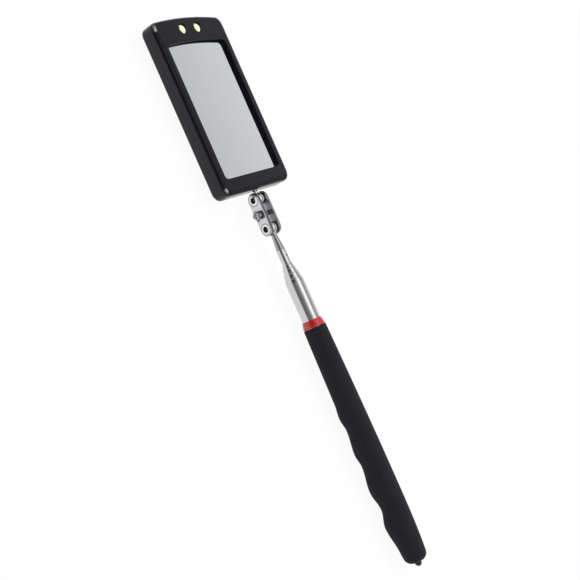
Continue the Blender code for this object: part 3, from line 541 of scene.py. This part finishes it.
def sleeve_wall(s):
    """The plain sleeve's foam, s from its top: a slow swell, then a fall to the butt."""
    if s <= GRIP_SWELL_AT:
        return mix(GRIP_TOP_WALL, GRIP_SWELL_WALL, math.sin(math.pi / 2 * s / GRIP_SWELL_AT))
    return mix(GRIP_SWELL_WALL, GRIP_BUTT_WALL, ((s - GRIP_SWELL_AT) / (GRIP_LENGTH - GRIP_SWELL_AT)) ** 3)


def finger_wave(s):
    """Height of the finger side over the plain sleeve: smooth steps between crests and valleys."""
    knots = (*FINGER_WAVES, (GRIP_LENGTH, 0.0))
    for (start, first), (end, second) in zip(knots, knots[1:]):
        if start <= s <= end:
            return mix(first, second, cosine_step((s - start) / (end - start)))
    return 0.0


def grip_radius(s, angle):
    """The grip's radius at s from its top, at an angle from the middle of the finger side."""
    lobe = ((1 + math.cos(angle)) / 2) ** WAVE_SHARPNESS
    radius = TUBE_RADIUS + sleeve_wall(s) + lobe * finger_wave(s) - GRIP_SKIN
    for distance, edge in ((s, GRIP_TOP_ROUND), (GRIP_LENGTH - s, GRIP_END_ROUND)):
        if distance < edge:
            radius -= edge - math.sqrt(max(edge**2 - (edge - distance) ** 2, 0.0))
    return radius


def grip_stations():
    """Ring places: close together round both ends, even along the rest."""
    ends = [math.pi / 2 * i / GRIP_END_STEPS for i in range(GRIP_END_STEPS + 1)]
    start = [GRIP_TOP_ROUND * (1 - math.cos(a)) for a in ends]
    finish = [GRIP_LENGTH - GRIP_END_ROUND * (1 - math.sin(a)) for a in ends]
    middle = [mix(start[-1], finish[0], i / GRIP_RINGS) for i in range(1, GRIP_RINGS)]
    return start + middle + finish


def bridge(bm, first, second):
    """Faces between two rings of vertices; a ring of one is a pole."""
    count = max(len(first), len(second))
    for i in range(count):
        j = (i + 1) % count
        low = (first[i], first[j]) if len(first) > 1 else (first[0],)
        high = (second[j], second[i]) if len(second) > 1 else (second[0],)
        bm.faces.new((*low, *high))


def mesh_object(name, bm, material):
    """A smooth-shaded object of a finished mesh, sharp at its steep edges."""
    bmesh.ops.recalc_face_normals(bm, faces=bm.faces)
    mesh = bpy.data.meshes.new(name)
    bm.to_mesh(mesh)
    bm.free()
    mesh.materials.append(material)
    mesh.shade_smooth()
    mesh.set_sharp_from_angle(angle=SHARP_ANGLE)
    made = bpy.data.objects.new(name, mesh)
    scene.collection.objects.link(made)
    return made


def make_grip(material):
    """The foam sleeve, lofted finely: outside, both end faces and the bore."""
    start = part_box("grip")[0].x
    bm = bmesh.new()

    def ring(s, radius_at):
        made = []
        for i in range(GRIP_SIDES):
            angle = 2 * math.pi * i / GRIP_SIDES
            radius = radius_at(angle)
            turn = angle + WAVE_TURN
            place = (start + s, -radius * math.sin(turn), axis_z - radius * math.cos(turn))
            made.append(bm.verts.new(place))
        return made

    bore = TUBE_RADIUS + GRIP_FIT
    rings = [ring(0.0, lambda angle: bore)]
    rings += [ring(s, lambda angle, s=s: grip_radius(s, angle)) for s in grip_stations()]
    rings.append(ring(GRIP_LENGTH, lambda angle: NUB_HOLE))
    rings.append(ring(GRIP_LENGTH - GRIP_END_WALL, lambda angle: NUB_HOLE))
    rings.append(ring(GRIP_LENGTH - GRIP_END_WALL, lambda angle: bore))
    for first, second in zip(rings, rings[1:] + rings[:1]):
        bridge(bm, first, second)
    grip = mesh_object("grip_foam", bm, material)
    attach(grip, "handle")
    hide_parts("grip")


def arc(centre, radius, start, end, steps):
    """(radius, x) points of an arc, in degrees from straight out toward the butt."""
    angles = [math.radians(mix(start, end, i / steps)) for i in range(steps + 1)]
    return [(centre[0] + radius * math.cos(a), centre[1] + radius * math.sin(a)) for a in angles]


def turned(node, profile, start, material, closed=True):
    """Stands for a turned CAD node: (radius, x) points spun round the tool's axis, x from a start."""
    bm = bmesh.new()
    rings = []
    for radius, x in profile:
        count = TURN_SIDES if radius > 0 else 1
        turns = [2 * math.pi * i / count for i in range(count)]
        places = [(start + x, radius * math.sin(a), axis_z + radius * math.cos(a)) for a in turns]
        rings.append([bm.verts.new(place) for place in places])
    for first, second in zip(rings, rings[1:]):
        bridge(bm, first, second)
    if closed:
        bridge(bm, rings[-1], rings[0])
    piece = mesh_object(f"{node}_turned", bm, material)
    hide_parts(node)
    return piece


def tube_radius(index):
    """The outer radius of a section, counted from the outer tube inward."""
    return TUBE_RADIUS - index * (TUBE_WALL + RUNNING_GAP)


def swaged_profile(index, length):
    """A section whose mouth is swaged in to a rolled lip, with a crease where the swage starts."""
    outside = tube_radius(index)
    inside = outside - TUBE_WALL
    lip = tube_radius(index + 1) + LIP_GAP

    def cone(x):
        return (mix(lip + LIP_WALL, outside, x / SWAGE_LENGTH), x)

    return [
        (inside, SWAGE_LENGTH),
        (inside, length),
        (outside, length),
        (outside, SWAGE_LENGTH + 2 * CREASE_WIDTH),
        (outside, SWAGE_LENGTH + CREASE_WIDTH),
        (outside - CREASE_DEPTH, SWAGE_LENGTH),
        cone(SWAGE_LENGTH - CREASE_WIDTH),
        cone(SWAGE_LENGTH - 2 * CREASE_WIDTH),
        cone(BEAD_VALLEY + CREASE_WIDTH),
        cone(BEAD_VALLEY),
        *arc((lip + BEAD_RADIUS, BEAD_RADIUS), BEAD_RADIUS, *BEAD_ARC, BEAD_STEPS),
        (lip, LIP_LENGTH),
    ]


def cut_hole(piece, place, radius, depth):
    """A round hole along Z, right through."""
    bm = bmesh.new()
    bmesh.ops.create_cone(
        bm, segments=PIN_HOLE_SIDES, radius1=radius, radius2=radius, depth=depth, cap_ends=True
    )
    bmesh.ops.translate(bm, verts=bm.verts, vec=place)
    cutter = mesh_object("cutter", bm, piece.data.materials[0])
    hole = piece.modifiers.new("hole", "BOOLEAN")
    hole.object = cutter
    hole.solver = "EXACT"
    shape = piece.evaluated_get(bpy.context.evaluated_depsgraph_get())
    piece.data = bpy.data.meshes.new_from_object(shape)
    piece.modifiers.clear()
    bpy.data.objects.remove(cutter)


def make_tubes(chrome):
    """The telescope's sections, each lip rolled, and the innermost with its pin hole."""
    for index, (node, body) in enumerate(TUBE_BODIES.items()):
        low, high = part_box(node)
        tube = turned(node, swaged_profile(index, high.x - low.x), low.x, chrome)
        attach(tube, body)
    low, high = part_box("section_5")
    outside = tube_radius(len(TUBE_BODIES))
    inside = outside - TUBE_WALL
    length = high.x - low.x
    profile = [(inside, 0), (inside, length), (outside, length), (outside, MOUTH_ROUND + CREASE_WIDTH)]
    profile += arc((outside - MOUTH_ROUND, MOUTH_ROUND), MOUTH_ROUND, 0, -90, ROUND_STEPS)
    tube = turned("section_5", profile, low.x, chrome)
    pin_low, pin_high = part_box("rod_pin")
    through = 2 * (2 * outside)
    cut_hole(tube, Vector(((pin_low.x + pin_high.x) / 2, 0, axis_z)), PIN_HOLE, through)
    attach(tube, "rod")


def ball_points(start, end):
    """(radius, x) points round a ball, in degrees from its butt-side pole."""
    angles = [math.radians(mix(start, end, i / BALL_STEPS)) for i in range(BALL_STEPS + 1)]
    points = [(BALL_RADIUS * math.sin(a), BALL_RADIUS * math.cos(a)) for a in angles]
    return [(0.0 if radius < WELD else radius, x) for radius, x in points]


def make_ball_studs(chrome):
    """The rod's tip and the head's stud, each with its ball."""
    low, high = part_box("rod_tip")
    ball = low.x + BALL_RADIUS
    tube = tube_radius(len(TUBE_BODIES))
    shank = tube - TUBE_WALL - SPIGOT_GAP
    shoulder = tube - MOUTH_ROUND
    seat = ROD_REACH - SEAT
    neck_angle = math.degrees(math.asin(ROD_NECK_RADIUS / BALL_RADIUS))
    profile = ball_points(180, neck_angle)
    profile += [(ROD_NECK_RADIUS, ROD_NECK_LENGTH - CREASE_WIDTH), (ROD_NECK_RADIUS, ROD_NECK_LENGTH)]
    profile += [(shoulder, seat - CREASE_WIDTH), (shoulder, seat), (shank, seat)]
    profile += [(shank, high.x - ball), (0, high.x - ball)]
    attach(turned("rod_tip", profile, ball, chrome, closed=False), "rod")

    low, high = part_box("head_stud")
    ball = high.x - BALL_RADIUS
    face = -HEAD_TO_BALL + SEAT
    neck_angle = math.degrees(math.asin(STUD_NECK_RADIUS / BALL_RADIUS))
    profile = ball_points(0, 180 - neck_angle)
    profile += [(STUD_NECK_RADIUS, (face - BALL_RADIUS) / 2), (STUD_FLARE_RADIUS, face), (STUD_RADIUS, face)]
    profile += [(STUD_RADIUS, low.x - ball), (0, low.x - ball)]
    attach(turned("head_stud", profile, ball, chrome, closed=False), "stud")


def make_collar(red):
    """The tapered ring between tube and grip, its edges rounded."""
    low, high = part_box("collar")
    length = high.x - low.x
    edge = COLLAR_ROUND
    bore = TUBE_RADIUS + GRIP_FIT
    top = TUBE_RADIUS + COLLAR_TOP_WALL
    base = TUBE_RADIUS + COLLAR_BASE_WALL
    profile = [(bore, 0), (bore, length)]
    profile += arc((base - edge, length - edge), edge, 90, 0, ROUND_STEPS)
    profile += arc((top - edge, edge), edge, 0, -90, ROUND_STEPS)
    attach(turned("collar", profile, low.x, red), "handle")


def make_pad(material):
    """The foam pad behind the glass: a soft-edged slab whose sides draw in at mid height."""
    low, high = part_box("mirror_pad")
    middle = (low + high) / 2
    size = high - low
    bm = bmesh.new()
    bmesh.ops.create_cube(bm, size=1.0)
    bmesh.ops.subdivide_edges(bm, edges=bm.edges, cuts=PAD_CUTS, use_grid_fill=True)
    for vertex in bm.verts:
        x, y, z = vertex.co
        waist = PAD_WAIST * (1 - (2 * z) ** 2)
        inset_x = 1 - PAD_CORNER * (2 * abs(y)) ** PAD_CORNER_POWER - waist
        inset_y = 1 - PAD_CORNER * (2 * abs(x)) ** PAD_CORNER_POWER - waist
        vertex.co = middle + Vector((x * inset_x * size.x, y * inset_y * size.y, z * size.z))
    pad = mesh_object("mirror_pad_foam", bm, material)
    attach(pad, "head")
    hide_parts("mirror_pad")


def smooth_shading():
    """Geometry nodes that weld a faceted solid and shade it smooth, but for its sharp edges."""
    group = bpy.data.node_groups.new("smooth_shading", "GeometryNodeTree")
    for direction in ("INPUT", "OUTPUT"):
        group.interface.new_socket("Geometry", in_out=direction, socket_type="NodeSocketGeometry")
    start = group.nodes.new("NodeGroupInput")
    plain = group.nodes.new("GeometryNodeRemoveAttribute")
    plain.inputs["Name"].default_value = "custom_normal"
    weld = group.nodes.new("GeometryNodeMergeByDistance")
    weld.inputs["Distance"].default_value = WELD
    smooth = group.nodes.new("GeometryNodeSetShadeSmooth")
    sharp = group.nodes.new("GeometryNodeSetShadeSmooth")
    sharp.domain = "EDGE"
    sharp.inputs["Shade Smooth"].default_value = False
    angle = group.nodes.new("GeometryNodeInputMeshEdgeAngle")
    steep = group.nodes.new("FunctionNodeCompare")
    steep.operation = "GREATER_THAN"
    steep.inputs["B"].default_value = SHARP_ANGLE
    finish = group.nodes.new("NodeGroupOutput")
    chain = (start, plain, weld, smooth, sharp, finish)
    for first, second in zip(chain, chain[1:]):
        group.links.new(first.outputs["Geometry"], second.inputs["Geometry"])
    group.links.new(angle.outputs["Unsigned Angle"], steep.inputs["A"])
    group.links.new(steep.outputs["Result"], sharp.inputs["Selection"])
    return group


def dress(materials):
    """Gives each CAD node the material of its record slot, and shades its rounded edges smooth."""
    shading = smooth_shading()
    for name, slot in slots.items():
        node = nodes[name]
        node.data.materials.clear()
        node.data.materials.append(materials[slot])
        node.modifiers.new("smooth", "NODES").node_group = shading
        weighted = node.modifiers.new("weighted", "WEIGHTED_NORMAL")
        weighted.mode = "FACE_AREA"
        weighted.keep_sharp = True


def make_floor():
    """A pale floor, white to the camera and in reflections, with the object's shadow; clear from below."""
    bm = bmesh.new()
    bmesh.ops.create_grid(bm, x_segments=1, y_segments=1, size=FLOOR_REACH)
    surface = Surface("pale_floor")
    surface.set(Base_Color=(FLOOR_GREY, FLOOR_GREY, FLOOR_GREY), Roughness=0.9, Specular_IOR_Level=0.0)
    path = surface.nodes.new("ShaderNodeLightPath").outputs
    seen = surface.math("MAXIMUM", path["Is Camera Ray"], path["Is Glossy Ray"])
    seen = surface.math("MAXIMUM", seen, path["Is Transmission Ray"])
    white = surface.nodes.new("ShaderNodeEmission")
    lit = surface.nodes.new("ShaderNodeMixShader")
    whiteness = surface.math("MULTIPLY", seen, FLOOR_WHITE)
    surface.feed(lit.inputs, (whiteness, surface.shader.outputs["BSDF"], white.outputs["Emission"]))
    clear = surface.nodes.new("ShaderNodeBsdfTransparent")
    sided = surface.nodes.new("ShaderNodeMixShader")
    behind = surface.nodes.new("ShaderNodeNewGeometry").outputs["Backfacing"]
    surface.feed(sided.inputs, (behind, lit.outputs["Shader"], clear.outputs["BSDF"]))
    surface.links.new(sided.outputs["Shader"], surface.nodes["Material Output"].inputs["Surface"])
    floor = mesh_object("floor", bm, surface.material)
    floor.location.z = -FLOOR_DROP


def make_world():
    """A studio round the table: dark from the camera's horizon up, a bright strip overhead, grey beyond."""
    world = bpy.data.worlds.new("studio")
    scene.world = world
    world.use_nodes = True
    graph = Graph(world.node_tree, "Generated")
    toward_camera = graph.math("MULTIPLY", graph.axis("Y"), -1.0)
    angle = graph.math("ARCTAN2", graph.axis("Z"), toward_camera)
    half_turns = graph.math("DIVIDE", angle, math.pi)
    strip = graph.ramp(half_turns, *((degrees / 180, grey) for degrees, grey in STUDIO))
    side = graph.smooth_step(graph.math("ABSOLUTE", graph.axis("X")), SIDE_START, SIDE_END, 0.0, 1.0)
    walls = graph.blended(side, strip, SIDE_GREY)
    toward_screen = graph.vector_math("DOT_PRODUCT", graph.place, SCREEN.normalized())["Value"]
    inner = math.cos(SCREEN_INNER)
    outer = math.cos(SCREEN_OUTER)
    strength = graph.smooth_step(toward_screen, outer, inner, 1.0, SCREEN_SHADE)
    background = graph.nodes["Background"]
    graph.links.new(walls, background.inputs["Color"])
    graph.links.new(strength, background.inputs["Strength"])


def make_lamp():
    """A broad soft fill that polished pieces don't show; the studio's strip light gives the highlights."""
    data = bpy.data.lights.new("fill_lamp", "AREA")
    data.shape = "SQUARE"
    data.size = LAMP_SIZE
    data.energy = LAMP_POWER
    lamp = bpy.data.objects.new("fill_lamp", data)
    lamp.location = LAMP_PLACE
    lamp.rotation_euler = (-LAMP_PLACE).to_track_quat("-Z", "Y").to_euler()
    lamp.visible_glossy = False
    scene.collection.objects.link(lamp)


def make_camera():
    """The photograph's camera, rolled as the photograph is."""
    data = bpy.data.cameras.new("photo_camera")
    data.sensor_width = SENSOR
    data.lens = LENS
    data.clip_start = NEAR_CLIP
    data.clip_end = FAR_CLIP
    camera = bpy.data.objects.new("photo_camera", data)
    level_back = Vector((math.sin(AZIMUTH), -math.cos(AZIMUTH), 0))
    back = math.cos(ELEVATION) * level_back + Vector((0, 0, math.sin(ELEVATION)))
    level = Vector((0, 0, 1)).cross(back).normalized()
    rise = back.cross(level)
    right = math.cos(ROLL) * level + math.sin(ROLL) * rise
    up = math.cos(ROLL) * rise - math.sin(ROLL) * level
    turn = Matrix((right, up, back)).transposed().to_4x4()
    camera.matrix_world = Matrix.Translation(TARGET + DISTANCE * back) @ turn
    scene.collection.objects.link(camera)
    scene.camera = camera


def make_materials():
    """A procedural material for each slot of the record."""
    red = moulded(
        "red_moulding", (0.60, 0.010, 0.011), rough=0.20, grain_depth=0.000002, specular=0.55, coat=0.50
    )
    plug = moulded("plug_moulding", (0.02, 0.02, 0.022), rough=0.5, grain_depth=0.00001)
    nylon = moulded("nylon_moulding", (0.75, 0.74, 0.70), rough=0.48, grain_depth=0.000008)
    switch = moulded("switch_moulding", (0.08, 0.08, 0.085), rough=0.5, grain_depth=0.00001)
    return {
        "chrome": chrome_material(),
        "satin_nickel": nickel_material(),
        "steel": steel_material("fastener_steel", (0.48, 0.48, 0.50), rough=0.30),
        "cell_steel": steel_material("cell_can", (0.68, 0.68, 0.69), rough=0.25),
        "foam": foam_material("foam_rubber", (0.0140, 0.0148, 0.0196), cell_scale=2600.0),
        "pad_foam": foam_material("pad_foam_rubber", (0.10, 0.10, 0.11), cell_scale=1800.0),
        "red_plastic": red.material,
        "plug_plastic": plug.material,
        "nylon": nylon.material,
        "case_plastic": case_material(),
        "switch_plastic": switch.material,
        "mirror": mirror_material(),
        "led_lens": lens_material(),
        "circuit_board": board_material(),
    }


def main():
    materials = make_materials()
    dress(materials)
    nodes["rod_pin"].data.materials[0] = steel_material("blackened_pin", (0.07, 0.065, 0.06), rough=0.4)
    make_tubes(materials["chrome"])
    make_ball_studs(ball_material())
    make_collar(materials["red_plastic"])
    make_grip(materials["foam"])
    make_pad(materials["pad_foam"])
    make_floor()
    make_world()
    make_lamp()
    make_camera()
    scene.view_settings.view_transform = "Standard"


main()
